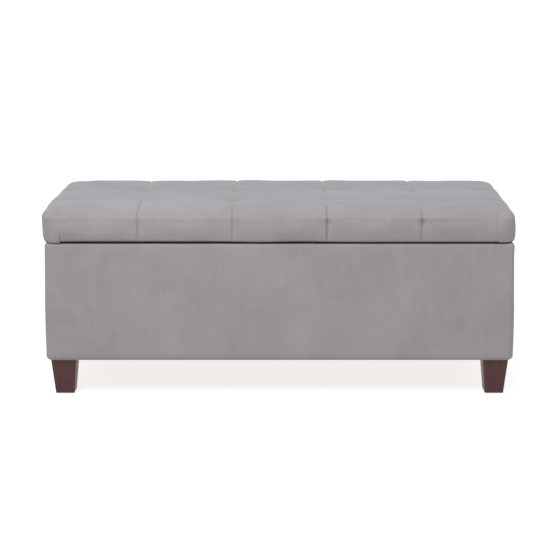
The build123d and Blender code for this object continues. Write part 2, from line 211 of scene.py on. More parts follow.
def solids_of(node):
    """The points of each separate solid in a node, as arrays, left to right and then front to back."""
    shape = welded(node)
    left, solids = set(shape.verts), []
    while left:
        group, todo = [], [left.pop()]
        while todo:
            vertex = todo.pop()
            group.append(vertex.co.copy())
            joined = {edge.other_vert(vertex) for edge in vertex.link_edges} & left
            left -= joined
            todo += joined
        solids.append(np.array(group))
    shape.free()
    return sorted(solids, key=lambda points: tuple(points.min(0).round(3)))


def finish_piece(piece, body, replaced=()):
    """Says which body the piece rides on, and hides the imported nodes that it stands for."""
    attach(piece, body)
    if replaced:
        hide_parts(*replaced)
    print(piece.name, "on", body, "with", len(piece.data.polygons), "faces")
    return piece


# %% [markdown]
# ## The suede cloth
# Brushed suede cloth has no weave to see. What shows is its nap: short fibres that lie one way in one place
# and another way in the next, so that the same grey looks a little lighter or darker in soft patches. A
# large, low-contrast noise gives the patches, a stretched one the marks that a hand leaves, and a very fine
# one the fibres. Sheen gives the pale edge that velvety cloth has where it turns away. The lid's folds carry
# an attribute called fold, from 0 to 1, and the cloth's colour is darkened there: painted shade for the
# shadow that falls in the creases.

# %% Suede cloth
GREY_DARK = (0.178, 0.166, 0.166)
GREY_MIDDLE = (0.196, 0.184, 0.184)
GREY_LIGHT = (0.214, 0.202, 0.202)
# The darkest grey is painted shade, laid into the lid's creases and corner tucks.
GREY_PAINTED_FOLD_SHADE = (0.10, 0.092, 0.095)
STROKE_SHARE = 0.45


def suede(name, folded):
    """The grey cloth. A piece that has the fold attribute gets painted shade in its folds."""
    material, tree, shader = new_material(name)
    where = object_space(tree)
    patches = noise(tree, where, 5.5, detail=4.0, roughness=0.62, distortion=0.6)
    strokes = noise(tree, object_space(tree, scale=(1.0, 1.0, 0.45)), 26.0, detail=3.0, distortion=1.2)
    fibres = noise(tree, where, 1400.0, detail=2.0)
    shares = {0: strokes, 1: STROKE_SHARE, 2: patches}
    mixed = add_node(tree, "ShaderNodeMath", {"operation": "MULTIPLY_ADD"}, shares)
    colour = ramp(tree, mixed.outputs[0], [(0.45, GREY_DARK), (0.72, GREY_MIDDLE), (1.0, GREY_LIGHT)])
    speckle = ramp(tree, fibres, [(0.3, (0.86, 0.86, 0.86)), (0.7, (1.0, 1.0, 1.0))])
    colour = blend_colours(tree, 1.0, colour, speckle, "MULTIPLY")
    # Painted shade: the colour is mixed towards the dark grey wherever the fold attribute marks a crease or
    # tuck.
    if folded:
        fold = add_node(tree, "ShaderNodeAttribute", {"attribute_name": "fold"}).outputs["Fac"]
        colour = blend_colours(tree, fold, colour, GREY_PAINTED_FOLD_SHADE)
    soft = bump(tree, noise(tree, where, 60.0, detail=4.0), 0.5 * MM, 0.35)
    feed(tree, shader, Base_Color=colour, Roughness=0.92, Specular_IOR_Level=0.18)
    feed(tree, shader, Sheen_Weight=0.16, Sheen_Roughness=0.45, Sheen_Tint=(0.82, 0.86, 0.96))
    feed(tree, shader, Normal=bump(tree, fibres, 0.25 * MM, 0.5, Normal=soft))
    return material


LID_CLOTH = suede("suede_lid", folded=True)
BOX_CLOTH = suede("suede_box", folded=False)

# %% [markdown]
# ## Stained legs
# The legs are a pale hardwood under a dark red-brown stain and a satin lacquer. Wood grain runs along the
# leg, so the noise is squeezed across it and hardly at all along it. The lacquer is the shader's coat, a
# number of its own.

# %% Stained wood


def grained_wood(name, stops, grain, roughness, coat):
    """Wood whose grain runs along Z: stops are its colours, grain the noise's scale across it."""
    material, tree, shader = new_material(name)
    where = object_space(tree, scale=(1.0, 1.0, 0.06))
    wide = noise(tree, where, grain, detail=5.0, roughness=0.6, distortion=0.8)
    fine = noise(tree, where, grain * 9.0, detail=3.0, roughness=0.7)
    pores = remap(tree, fine, 0.56, 0.70)
    colour = ramp(tree, wide, stops)
    darker = blend_colours(tree, 1.0, colour, (0.45, 0.42, 0.42), "MULTIPLY")
    worn = remap(tree, fine, 0.3, 0.7, roughness - 0.05, roughness + 0.08)
    feed(tree, shader, Base_Color=blend_colours(tree, pores, colour, darker), Roughness=worn)
    feed(tree, shader, Specular_IOR_Level=0.35, Coat_Weight=coat, Coat_Roughness=0.25)
    feed(tree, shader, Normal=bump(tree, fine, 0.06 * MM, 0.5))
    return material


STAINED_WOOD = grained_wood(
    "stained_wood",
    [(0.30, (0.022, 0.0034, 0.0034)), (0.55, (0.041, 0.0064, 0.0064)), (0.80, (0.062, 0.0110, 0.0100))],
    grain=70.0,
    roughness=0.46,
    coat=0.12,
)
PINE = grained_wood(
    "planed_pine",
    [(0.30, (0.46, 0.30, 0.15)), (0.60, (0.60, 0.42, 0.23)), (0.85, (0.68, 0.50, 0.30))],
    grain=30.0,
    roughness=0.62,
    coat=0.0,
)
PLYWOOD = grained_wood(
    "raw_plywood",
    [(0.30, (0.42, 0.27, 0.14)), (0.60, (0.52, 0.36, 0.20)), (0.85, (0.58, 0.42, 0.26))],
    grain=18.0,
    roughness=0.66,
    coat=0.0,
)

# %% [markdown]
# ## Lining, foam, steel, rubber and nylon
# The lining is a spun-bonded cloth, black, with a grid of small pressed dots. The foam is open-celled. The
# hardware is zinc plated: a bright grey metal, brushed by the press tool, a little cloudy. Rubber and nylon
# are plain blacks that differ in their gloss and in a faint moulded texture.

# %% The other finishes


def spun_cloth(name):
    """Black non-woven lining with its pressed dots."""
    material, tree, shader = new_material(name)
    where = object_space(tree)
    pattern = add_node(tree, "ShaderNodeTexVoronoi", Vector=where, Scale=420.0, Randomness=0.15)
    threads = noise(tree, where, 800.0, detail=3.0)
    colour = ramp(tree, threads, [(0.3, (0.012, 0.012, 0.013)), (0.7, (0.030, 0.030, 0.032))])
    pressed = bump(tree, remap(tree, pattern.outputs["Distance"], 0.1, 0.4), 0.15 * MM, 0.7)
    feed(tree, shader, Base_Color=colour, Roughness=0.88, Sheen_Weight=0.12)
    feed(tree, shader, Normal=bump(tree, threads, 0.1 * MM, 0.5, Normal=pressed))
    return material


def cell_foam(name):
    """Open-cell cushion foam."""
    material, tree, shader = new_material(name)
    cells = add_node(tree, "ShaderNodeTexVoronoi", Vector=object_space(tree), Scale=650.0).outputs["Distance"]
    colour = ramp(tree, cells, [(0.0, (0.50, 0.44, 0.28)), (0.6, (0.74, 0.68, 0.50))])
    feed(tree, shader, Base_Color=colour, Roughness=0.95, Normal=bump(tree, cells, 0.4 * MM, 0.8))
    return material


def plated_steel(name):
    """Zinc plated steel, faintly brushed and clouded."""
    material, tree, shader = new_material(name)
    clouds = noise(tree, object_space(tree), 90.0, detail=4.0, roughness=0.6)
    brushed = noise(tree, object_space(tree, scale=(0.05, 1.0, 1.0)), 2200.0, detail=2.0)
    colour = ramp(tree, clouds, [(0.3, (0.50, 0.50, 0.49)), (0.7, (0.66, 0.66, 0.65))])
    clouded = remap(tree, clouds, 0.3, 0.7, 0.26, 0.42)
    feed(tree, shader, Base_Color=colour, Metallic=1.0, Roughness=clouded)
    feed(tree, shader, Normal=bump(tree, brushed, 0.03 * MM, 0.4))
    return material


def moulded(name, colour_low, colour_high, roughness):
    """A moulded black part, with a fine spark-eroded texture."""
    material, tree, shader = new_material(name)
    grain = noise(tree, object_space(tree), 1800.0, detail=2.0)
    colour = ramp(tree, grain, [(0.3, colour_low), (0.7, colour_high)])
    uneven_gloss = remap(tree, grain, 0.3, 0.7, roughness - 0.06, roughness + 0.06)
    feed(tree, shader, Base_Color=colour, Roughness=uneven_gloss, Normal=bump(tree, grain, 0.05 * MM, 0.5))
    return material


LINING = spun_cloth("spun_lining")
FOAM = cell_foam("cushion_foam")
STEEL = plated_steel("zinc_steel")
RUBBER = moulded("black_rubber", (0.012, 0.012, 0.012), (0.024, 0.024, 0.024), 0.70)
NYLON = moulded("black_nylon", (0.018, 0.018, 0.018), (0.034, 0.034, 0.034), 0.42)
TWINE = moulded("waxed_twine", (0.42, 0.38, 0.30), (0.58, 0.54, 0.45), 0.60)
THREAD = moulded("grey_thread", (0.16, 0.15, 0.15), (0.24, 0.23, 0.23), 0.55)

# %% [markdown]
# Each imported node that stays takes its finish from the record's slot of the same kind.

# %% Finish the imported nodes
FINISH_OF_SLOT = {
    "upholstery": BOX_CLOTH,
    "foam": FOAM,
    "lining_cloth": LINING,
    "plywood": PLYWOOD,
    "softwood": PINE,
    "leg_wood": STAINED_WOOD,
    "zinc_steel": STEEL,
    "bumper_rubber": RUBBER,
    "glide_plastic": NYLON,
    "twine": TWINE,
}
for subpart in frame["record"]["subparts"]:
    node = frame["nodes"][subpart["node"]]
    node.data.materials.clear()
    node.data.materials.append(FINISH_OF_SLOT[subpart["material_slot"]])

# %% [markdown]
# ## A skin on a grid
# The lid's cover and its foam start as the outside of a grid of boxes, with a line of vertices wherever a
# fold will lie, and are then rounded by a rule. A subdivided cube would round as well, but its lines fall
# where they like. A grid keeps the faces square, which cloth needs, and closer lines near the folds give
# sharp creases without a heavy mesh.

# %% Grid skin


def spaced_lines(low, high, coarse, reach, folds):
    """Positions from low to high, about coarse apart, and much finer within reach of each fold."""
    steps, crowding = 6, 1.4
    close = [reach * (i / steps) ** crowding for i in range(1, steps + 1)]
    marks = sorted({low, high, *folds})
    lines = [low]
    for start, end in zip(marks[:-1], marks[1:]):
        stops = [start] + ([start + step for step in close] if start in folds else [])
        first, last = stops[-1], end - (reach if end in folds else 0.0)
        count = max(1, round((last - first) / coarse))
        stops += [first + (last - first) * i / count for i in range(1, count + 1)]
        if end in folds:
            stops += [end - step for step in close[-2::-1]] + [end]
        lines += stops[1:]
    return np.array(lines)


def grid_skin(xs, ys, zs, wanted):
    """The outside faces of a grid of boxes. wanted(side, x, y) says if a face with that middle is kept."""
    index, points, faces = {}, [], []

    def corner(place):
        if place not in index:
            index[place] = len(points)
            points.append((xs[place[0]], ys[place[1]], zs[place[2]]))
        return index[place]

    def add(side, *corners):
        x, y = (np.mean([line[place[axis]] for place in corners]) for axis, line in enumerate((xs, ys)))
        if wanted(side, x, y):
            faces.append([corner(place) for place in corners])

    right, back, top = len(xs) - 1, len(ys) - 1, len(zs) - 1
    for i in range(right):
        for j in range(back):
            add("top", (i, j, top), (i + 1, j, top), (i + 1, j + 1, top), (i, j + 1, top))
            add("bottom", (i, j, 0), (i, j + 1, 0), (i + 1, j + 1, 0), (i + 1, j, 0))
        for k in range(top):
            add("front", (i, 0, k), (i + 1, 0, k), (i + 1, 0, k + 1), (i, 0, k + 1))
            add("back", (i, back, k), (i, back, k + 1), (i + 1, back, k + 1), (i + 1, back, k))
    for j in range(back):
        for k in range(top):
            add("left", (0, j, k), (0, j, k + 1), (0, j + 1, k + 1), (0, j + 1, k))
            add("right", (right, j, k), (right, j + 1, k), (right, j + 1, k + 1), (right, j, k + 1))
    return np.array(points), faces


# %% [markdown]
# The rounding rule has two steps. In plan, the grid's square corners are pressed into round ones. In
# section, whatever lies near the top or bottom edge is bent onto a quarter ellipse.

# %% Rounding rule
TINY = 1e-7


def rounded(points, low, high, corner, shoulder, hem):
    """Rounds a grid block. corner is the radius in plan; shoulder and hem are (across, up) in section."""
    half = np.array([high.x, high.y])
    plan = points[:, :2]
    inner = np.clip(plan, corner - half, half - corner)
    away = (plan - inner) / corner
    depth = np.abs(away).max(1)
    length = np.maximum(np.linalg.norm(away, axis=1), 1e-9)
    inset = corner * (1.0 - depth)
    height = points[:, 2].copy()
    new_inset, new_height = inset.copy(), height.copy()
    for edge, sign, (across, up) in ((high.z, 1.0, shoulder), (low.z, -1.0, hem)):
        from_edge = np.abs(height - edge)
        on_flat = (from_edge < TINY) & (inset < across)
        beside = (from_edge >= TINY) & (from_edge < up) & (inset < TINY)
        turn = np.zeros(len(points))
        turn[on_flat] = (1.0 - inset[on_flat] / across) * math.pi / 4
        turn[beside] = math.pi / 4 * (1.0 + from_edge[beside] / up)
        bent = on_flat | beside
        new_inset[bent] = across * (1.0 - np.sin(turn[bent]))
        new_height[bent] = edge - sign * up * (1.0 - np.cos(turn[bent]))
    place = np.empty_like(points)
    place[:, :2] = inner + away / length[:, None] * (corner - new_inset)[:, None]
    place[depth < 1e-9, :2] = plan[depth < 1e-9]
    place[:, 2] = new_height
    return place


# %% [markdown]
# ## The tufted lid
# The lid is foam on a board, under cloth that is drawn down at eight points without buttons. Between the
# points the cloth is only stitched flat, so those seams hardly show, but from the outer points a pleat runs
# over the shoulder and down the border, where it is pulled tight and shows as a thin dark line. Sculpting
# each pleat by hand would work for one bench; here each fold is a rule, so that it can be as fine as a fold
# in cloth: a wide soft valley, and a narrow crease in its middle.

# %% Sizes of the tufting
COLUMNS = [lid_high.x * share for share in (-0.6, -0.2, 0.2, 0.6)]
ROWS = [lid_high.y * share for share in (-1 / 3, 1 / 3)]
LID_HEIGHT = lid_high.z - lid_low.z
LID_CORNER = 32.0 * MM
LID_SHOULDER = (20.0 * MM, 22.0 * MM)
LID_HEM = (6.0 * MM, 6.0 * MM)
# A pleat is a soft valley with a sharp crease. A seam on the top is a faint pleat.
PLEAT_WIDTH = 1.4 * MM
PLEAT_DEPTH = 4.2 * MM
VALLEY_WIDTH = 11.0 * MM
VALLEY_DEPTH = 1.8 * MM
SEAM_SHARE = 0.05
TUFT_WIDTH = 21.0 * MM
TUFT_DEPTH = 3.2 * MM
TUFT_EYE = 5.0 * MM
# Each front pleat opens into a small mouth at the shoulder, and each is pulled its own amount.
MOUTH_RISE = 0.66
MOUTH_REACH = 0.20
MOUTHS = (0.2, 0.1, 0.6, 1.5)
FIRMNESS = (0.42, 0.42, 0.72, 0.5)
# How far from the middle of the lid the pleats begin.
FRONT_PLEATS = (85.0 * MM, 145.0 * MM, 120.0 * MM, 170.0 * MM)
BACK_PLEATS = 180.0 * MM
END_PLEATS = 540.0 * MM
PLEAT_FADE = 40.0 * MM
PLEAT_WANDER = 1.5 * MM


def bell(distance, width):
    """1 in the middle, and falling smoothly to 0 a few widths away."""
    return np.exp(-((distance / width) ** 2))


def fold_depth(points):
    """How far the cloth is drawn in at each place on the lid's grid, and how sharp its crease is, 0 to 1."""
    x, y = points[:, 0], points[:, 1]
    rise = (points[:, 2] - lid_low.z) / LID_HEIGHT
    soft, crease = np.zeros(len(x)), np.zeros(len(x))
    for along, across, folds in ((y, x, COLUMNS), (x, y, ROWS)):
        pleated = folds is COLUMNS
        for number, fold in enumerate(folds):
            starts = np.where(along < 0, FRONT_PLEATS[number], BACK_PLEATS) if pleated else END_PLEATS
            beyond = np.clip((np.abs(along) - starts) / PLEAT_FADE, 0, 1)
            strength = (SEAM_SHARE + (1 - SEAM_SHARE) * beyond) * np.clip(0.75 + 2.0 * rise, 0, 1)
            wander = PLEAT_WANDER * np.sin(along * 23.0 + number * 2.1) * (1 - beyond)
            mouth = 0.0
            if pleated:
                mouth = MOUTHS[number] * bell(rise - MOUTH_RISE, MOUTH_REACH) * (along < 0)
                strength = strength * np.where(along < 0, FIRMNESS[number] * (1 + 0.5 * mouth), 1)
            distance = np.abs(across - fold - wander - mouth * PLEAT_WIDTH)
            soft += strength * VALLEY_DEPTH * (1 + mouth) * np.exp(-distance / VALLEY_WIDTH)
            crease = np.maximum(crease, strength * np.exp(-((distance / (PLEAT_WIDTH * (1 + mouth))) ** 1.5)))
    on_top = rise > 0.99
    for tuft_x in COLUMNS:
        for tuft_y in ROWS:
            radius = np.hypot(x - tuft_x, y - tuft_y)
            angle = np.arctan2(y - tuft_y, x - tuft_x)
            pull = np.exp(-radius / TUFT_WIDTH) * on_top
            rays = np.cos(3 * angle + 9.0 * tuft_x) ** 2 * np.clip(radius / TUFT_WIDTH, 0, 1)
            soft += pull * TUFT_DEPTH * (1.0 + 0.35 * rays)
            crease = np.maximum(crease, 0.55 * bell(radius, TUFT_EYE) * on_top)
    return soft, crease


# %% [markdown]
# Cloth over foam is never quite even. Small marks are added to the rule: a slow swell all over, puckers along
# the shoulder where the cloth turns, a ridge along the front edge, a fuller band low on the borders, and
# short drag lines that leave the top of a pleat sideways. Random bumps would cost less thought, but cloth
# doesn't bump at random: each of these marks is there because of how the cloth is pulled.

# %% Unevenness of the cloth
DRAGS = (
    # from, to (shares of the half length), height share, depth, width (share of the border's height)
    (-0.59, -0.34, 0.66, 1.5, 0.060),
    (-0.86, -0.62, 0.72, 1.0, 0.050),
    (0.22, 0.46, 0.75, 1.7, 0.050),
    (-0.18, 0.16, 0.70, -0.8, 0.045),
    (0.64, 0.90, 0.67, 0.8, 0.060),
)
SLOW_SWELL = 0.9 * MM
PUCKER = 0.45 * MM
RIDGE = 1.1 * MM
BORDER_SWELL = 2.0 * MM
FRONT_SWELL = 0.35


def swell(x, y, z):
    """A slow, smooth unevenness, about -1 to 1, the same on each run."""
    waves = (
        np.sin(9.1 * x + 5.3 * y + 0.7) + 0.8 * np.sin(17.3 * x - 11.9 * y + 2.1 + 9 * z)
        + 0.6 * np.sin(31.7 * x + 23.1 * y + 14 * z + 4.4) + 0.4 * np.sin(57.0 * x - 41.0 * y - 37 * z + 1.3)
    )
    return waves / 2.0


def uneven(points):
    """How far the cloth stands out or in, in metres, at each place on the lid's grid."""
    x, y, z = points.T
    rise = (z - lid_low.z) / LID_HEIGHT
    out = SLOW_SWELL * swell(x, y, z)
    ahead = y < lid_low.y + 1e-6
    shoulder = bell(rise - 0.72, 0.16) * (rise < 0.999)
    out += shoulder * PUCKER * np.sin(75.0 * x + 8.0 * np.sin(13.0 * x) + 60.0 * y)
    ridge = bell(rise - 0.90 + 0.02 * np.sin(21.0 * x), 0.08) * (rise < 0.999) - bell(rise - 0.72, 0.14)
    out += ahead * RIDGE * ridge * (0.65 + 0.35 * np.sin(16.0 * x + 2.0 * np.sin(5.0 * x)))
    out += BORDER_SWELL * bell(rise - 0.27, 0.22) * np.where(ahead, FRONT_SWELL, 1)
    for start, end, height, depth, width in DRAGS:
        share = np.clip((x / lid_high.x - start) / (end - start), 0, 1)
        dip = height + 0.05 * np.sin(share * math.pi * 1.5)
        out -= ahead * depth * MM * np.sin(share * math.pi) * bell(rise - dip, width)
    return out


# %% [markdown]
# The grid takes a line of vertices at each fold and tuck. Its points are rounded, drawn in at the folds,
# moved by the unevenness, and then bent as a whole: the top falls a little towards the front edge, rises a
# little towards the back, and is fuller at the left end.

# %% Shape the lid cover
GRID_STEP = 8.0 * MM
TUCK_PLACE = 44.0 * MM
TUCK_LINES = [TUCK_PLACE - lid_high.x, lid_high.x - TUCK_PLACE]
TURN_UNDER = lid_high.x - hem_high.x + 4 * MM
FRONT_FALL = 9.0 * MM
BACK_RISE = 7.0 * MM
BEND_REACH = 120.0 * MM
LEFT_FULLNESS = 7.5 * MM
HEM_REACH = 12.0 * MM
lid_xs = spaced_lines(lid_low.x, lid_high.x, GRID_STEP, 14 * MM, COLUMNS + TUCK_LINES)
lid_ys = spaced_lines(lid_low.y, lid_high.y, GRID_STEP, 20 * MM, ROWS)
lid_zs = spaced_lines(lid_low.z, lid_high.z, 6 * MM, 20 * MM, [])


def on_lid_cover(side, x, y):
    """The cover has a top and four borders, and turns under the lid, above the lining's edge."""
    return side != "bottom" or abs(x) > lid_high.x - TURN_UNDER or abs(y) > lid_high.y - TURN_UNDER


lid_grid, lid_faces = grid_skin(lid_xs, lid_ys, lid_zs, on_lid_cover)
lid_place = rounded(lid_grid, lid_low, lid_high, LID_CORNER, LID_SHOULDER, LID_HEM)
cushion = new_piece("lid_cushion_cover", lid_place, lid_faces, LID_CLOTH)
outwards = normals_of(cushion)
underneath = lid_grid[:, 2] < lid_low.z + 1e-6
hem_fade = np.clip((lid_grid[:, 2] - lid_low.z) / HEM_REACH, 0, 1)
soft_folds, creases = fold_depth(lid_grid)
soft_folds[underneath] = 0.0
creases[underneath] = 0.0
shaped = lid_place - outwards * (soft_folds * hem_fade)[:, None]
shaped = shaped + outwards * (uneven(lid_grid) * hem_fade)[:, None]
print("lid cover:", len(lid_grid), "vertices,", len(lid_faces), "faces")

# %% Bend the lid cover as a whole
grid_x, grid_y, grid_z = lid_grid.T
height_share = (grid_z - lid_low.z) / LID_HEIGHT
from_front = np.clip((grid_y - lid_low.y) / BEND_REACH, 0, 1)
to_back = np.clip(grid_y / lid_high.y, 0, 1)
to_end = np.clip(1 - (lid_high.x - np.abs(grid_x)) / BEND_REACH, 0, 1)
back_rise = BACK_RISE * to_back**2 * (1 - to_end**2)
shaped[:, 2] += (back_rise - FRONT_FALL * (1 - from_front) ** 2) * height_share**2
left_end = np.clip((-grid_x / lid_high.x - 0.90) / 0.05, 0, 1)
left_end *= np.clip((90 * MM - grid_y) / (120 * MM), 0.3, 1) * hem_fade
high_up = bell((grid_z - lid_high.z) / LID_HEIGHT, 0.45)
shaped[:, 0] -= LEFT_FULLNESS * left_end * (0.28 + 0.72 * high_up)
set_points(cushion, shaped)

# %% [markdown]
# Now a cloth simulation blows the biscuits up from inside. The turn-under and the folds are pinned, the
# pressure does the rest, and no point may move further than a cap. It gives the fullness between the folds
# that a rule can't guess: a biscuit is roundest where it is furthest from every fold. The sharp creases are
# pressed in after it, because the simulation would smooth them away.

# %% Blow up the biscuits
CLOTH_SETTINGS = {
    "quality": 5,
    "mass": 0.3,
    "tension_stiffness": 12.0,
    "compression_stiffness": 12.0,
    "shear_stiffness": 6.0,
    "bending_stiffness": 0.6,
    "shrink_min": -0.006,
    "vertex_group_mass": "pins",
    "pin_stiffness": 1.0,
    "use_pressure": True,
}


def evened(piece, values, rounds):
    """Each point's value averaged with its neighbours', several times over."""
    ends = np.array([edge.vertices[:] for edge in piece.data.edges])
    for _ in range(rounds):
        total, count = values.copy(), np.ones(len(values))
        for near, far in ((0, 1), (1, 0)):
            np.add.at(total, ends[:, near], values[ends[:, far]])
            np.add.at(count, ends[:, near], 1)
        values = total / count[:, None]
    return values


def swollen(piece, held, pressure, cap, steps=20):
    """Where the piece's points go when it is blown up. held says how firmly each point is pinned, 0 to 1."""
    start = points_of(piece).copy()
    pins = piece.vertex_groups.new(name="pins")
    for level in range(1, 11):
        members = np.flatnonzero(np.round(held * 10) == level)
        pins.add([int(i) for i in members], level / 10, "REPLACE")
    modifier = piece.modifiers.new("cloth", "CLOTH")
    for name, value in CLOTH_SETTINGS.items():
        setattr(modifier.settings, name, value)
    modifier.settings.uniform_pressure_force = pressure
    modifier.settings.effector_weights.gravity = 0.0
    modifier.collision_settings.use_collision = False
    modifier.point_cache.frame_start = 1
    modifier.point_cache.frame_end = steps
    for step in range(1, steps + 1):
        bpy.context.scene.frame_set(step)
    graph = bpy.context.evaluated_depsgraph_get()
    blown = np.empty(len(start) * 3)
    piece.evaluated_get(graph).data.vertices.foreach_get("co", blown)
    piece.modifiers.clear()
    piece.vertex_groups.clear()
    bpy.context.scene.frame_set(1)
    move = blown.reshape(-1, 3) - start
    far = np.maximum(np.linalg.norm(move, axis=1), 1e-9)
    print("cloth moved up to", round(far.max() * 1000, 1), "mm")
    return evened(piece, move * (cap * np.tanh(far / cap) / far)[:, None], rounds=6)


pinned = np.clip(np.maximum(creases * 1.2, underneath), 0, 1)
move = swollen(cushion, pinned, pressure=3.0, cap=6.0 * MM)
crease_depth = creases * PLEAT_DEPTH * np.clip(hem_fade * 2.5, 0, 1)
full = shaped + move - normals_of(cushion) * crease_depth[:, None]

# %% [markdown]
# The blown cover is fitted back to the lid's real size. At each corner the spare cloth is folded under in a
# tuck, which hangs a little lower than the hem, and the hem itself is never quite straight.

# %% Fit the cover to the lid
FULLNESS = (2.5 * MM, 2.0 * MM, 3.0 * MM)
HEM_WAVE = 0.7 * MM
CORNER_DROPS = {(-1, -1): 4.6 * MM, (1, -1): 2.0 * MM, (-1, 1): 1.5 * MM, (1, 1): 2.0 * MM}
TUCK_DEPTH = 3.0 * MM
TUCK_WIDTH = 2.2 * MM
TUCK_LEAN = 0.12
for axis, (low, high) in enumerate(zip(lid_low, lid_high)):
    base = low if axis == 2 else 0.0
    away = full[:, axis] - base
    full[:, axis] = base + away * (high + FULLNESS[axis] - base) / (full[:, axis].max() - base)

tuck = np.zeros(len(full))
for (side_x, side_y), drop in CORNER_DROPS.items():
    from_side = lid_high.x - side_x * grid_x
    from_end = lid_high.y - side_y * grid_y
    near = np.clip((TUCK_PLACE - from_side) / (4 * MM), 0, 1)
    near = near * np.clip((70 * MM - from_end) / (40 * MM), 0, 1)
    low_down = np.clip(1.0 - (grid_z - lid_low.z) / (30 * MM), 0, 1)
    full[:, 2] -= drop * near * low_down
    on_border = (np.abs(from_end) < 1e-6) & ~underneath
    leaning = from_side - TUCK_PLACE - TUCK_LEAN * (grid_z - lid_low.z)
    fold = bell(leaning, TUCK_WIDTH) * np.sqrt(low_down) * on_border
    tuck = np.maximum(tuck, fold * drop / CORNER_DROPS[-1, -1])
low_down = np.clip(1.0 - (grid_z - lid_low.z) / (40 * MM), 0, 1)
full[:, 2] += HEM_WAVE * low_down * np.sin(14.0 * full[:, 0] + 2.0 * np.sin(9.0 * full[:, 0]))
set_points(cushion, full)
full = full - normals_of(cushion) * (tuck * TUCK_DEPTH * np.clip(hem_fade * 2.5, 0, 1))[:, None]
set_points(cushion, full)


# %% Give the cover its painted fold shade and its thickness
# How dark the painted shade laid into the creases and tucks is.
FOLD_SHADE = 0.4


def write_fold_shade(piece, values):
    """Stores how much painted shade each vertex gets for lying in a crease, for the cloth's colour."""
    layer = piece.data.attributes.new("fold", "FLOAT", "POINT")
    layer.data.foreach_set("value", np.clip(values, 0, 1).astype(np.float32))


def thicken(piece, thickness):
    """Gives a skin its thickness, inwards, with its edges closed."""
    shell = piece.modifiers.new("thickness", "SOLIDIFY")
    shell.thickness = thickness
    shell.offset = -1.0
    return apply_modifiers(piece)


FOAM_GAP = 1.4 * MM
inner_side = full - normals_of(cushion) * FOAM_GAP
# The creases and corner tucks get painted shade in the cloth's colour through the fold attribute.
write_fold_shade(cushion, np.maximum(creases, tuck) * FOLD_SHADE)
thicken(cushion, COVER_CLOTH)
finish_piece(cushion, "lid", ["lid_cover"])

# %% [markdown]
# ## The lid's foam
# Under the cloth is one slab of foam, glued on the board and folded down round its edge. The cloth presses it
# into its own shape, so the foam takes the cover's points, moved in by a little more than the cloth's
# thickness, and closes them underneath. The pocket for the board is cut with a boolean against a copy of the
# board itself.

# %% Foam slab
foam_grid, foam_faces = grid_skin(lid_xs, lid_ys, lid_zs, lambda side, x, y: True)
cover_place = dict(zip(map(tuple, lid_grid), inner_side))
foam_place = np.array([cover_place.get(tuple(point), point) for point in foam_grid])
foam_place[:, 2] = np.maximum(foam_place[:, 2], board_low.z)
foam = new_piece("lid_foam_slab", foam_place, foam_faces, FOAM)

# %% Pocket for the board
POCKET_DEPTH = 5 * MM
board = welded("lid_board")
pocket = bpy.data.objects.new("pocket", bpy.data.meshes.new("pocket"))
board.to_mesh(pocket.data)
board.free()
SCENE.objects.link(pocket)
pocket_points = points_of(pocket)
pocket_points[pocket_points[:, 2] < board_low.z + 1e-6, 2] -= POCKET_DEPTH
set_points(pocket, pocket_points)
cut = foam.modifiers.new("pocket", "BOOLEAN")
cut.object = pocket
cut.solver = "EXACT"
apply_modifiers(foam)
bpy.data.objects.remove(pocket)
finish_piece(foam, "lid", ["lid_foam"])

# %% [markdown]
# ## The wrapped box
# One long band of cloth goes round the box, over a thin foam sheet. Its top edge is folded over the rim and
# stapled inside, its bottom edge is turned under, and its ends are joined at the middle of the back. The band
# is a short profile carried round a rounded rectangle, which is simpler than a grid and has no seam of its
# own. It is slack enough to belly out a few millimetres towards the bottom.

# %% Carry a profile round a rounded rectangle
SEAM_LINES = [-0.010, -0.0055, -0.0025, 0.0025, 0.0055, 0.010]


def around(half_x, half_y, corner, step):
    """Points round a rectangle, at any inset. Returns place(inset, z) and each point's outward direction."""
    arc = 6
    straight_x = np.linspace(-1, 1, 2 * round((half_x - corner) / step) + 1)
    straight_x = np.sort(np.append(straight_x, SEAM_LINES))
    straight_y = np.linspace(-1, 1, max(2, round(2 * (half_y - corner) / step)) + 1)
    shares, turns = [], []
    for side, line in enumerate((straight_x, straight_y, straight_x, straight_y)):
        facing = (side - 1) * math.pi / 2
        shares += [((share, -1), (1, share), (-share, 1), (-1, -share))[side] for share in line]
        turns += [facing] * len(line)
        shares += [((1, -1), (1, 1), (-1, 1), (-1, -1))[side]] * (arc - 1)
        turns += [facing + math.pi / 2 * i / arc for i in range(1, arc)]
    shares = np.array(shares)
    out = np.column_stack([np.cos(turns), np.sin(turns)])

    def place(inset, z):
        """The ring of points at that inset from the outside, and at that height."""
        radius = max(corner - inset, 0.4 * MM)
        core = np.array([half_x - inset - radius, half_y - inset - radius])
        flat = shares * core + out * radius
        return np.column_stack([flat, np.full(len(flat), z)])

    return place, out


def ring_faces(rings, count, closed):
    """Faces between rings of points, each ring inside the next along the profile."""
    faces = []
    for ring in range(rings if closed else rings - 1):
        following = (ring + 1) % rings
        for i in range(count):
            j = (i + 1) % count
            faces.append((ring * count + i, ring * count + j, following * count + j, following * count + i))
    return faces


# %% Profile of the band
BOX_CORNER = 10.0 * MM
RIM_RADIUS = 5.0 * MM
FOOT_RADIUS = 9.0 * MM
BELLY = 6.2 * MM
RIPPLE = 0.55 * MM
SEAM_DEPTH = 1.6 * MM
SEAM_WIDTH = 2.0 * MM
liner_inset = box_high.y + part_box("front_lining")[0].y
under_inset = box_high.y - dust_high.y - 3 * MM


def quarter(radius, rising):
    """Insets and heights round a quarter circle at an edge, from the flat to the wall, or the other way."""
    turns = [math.pi / 2 * i / 5 for i in range(6)]
    curve = [(radius * (1 - math.sin(t)), radius * (1 - math.cos(t))) for t in turns]
    return curve if rising else curve[::-1]


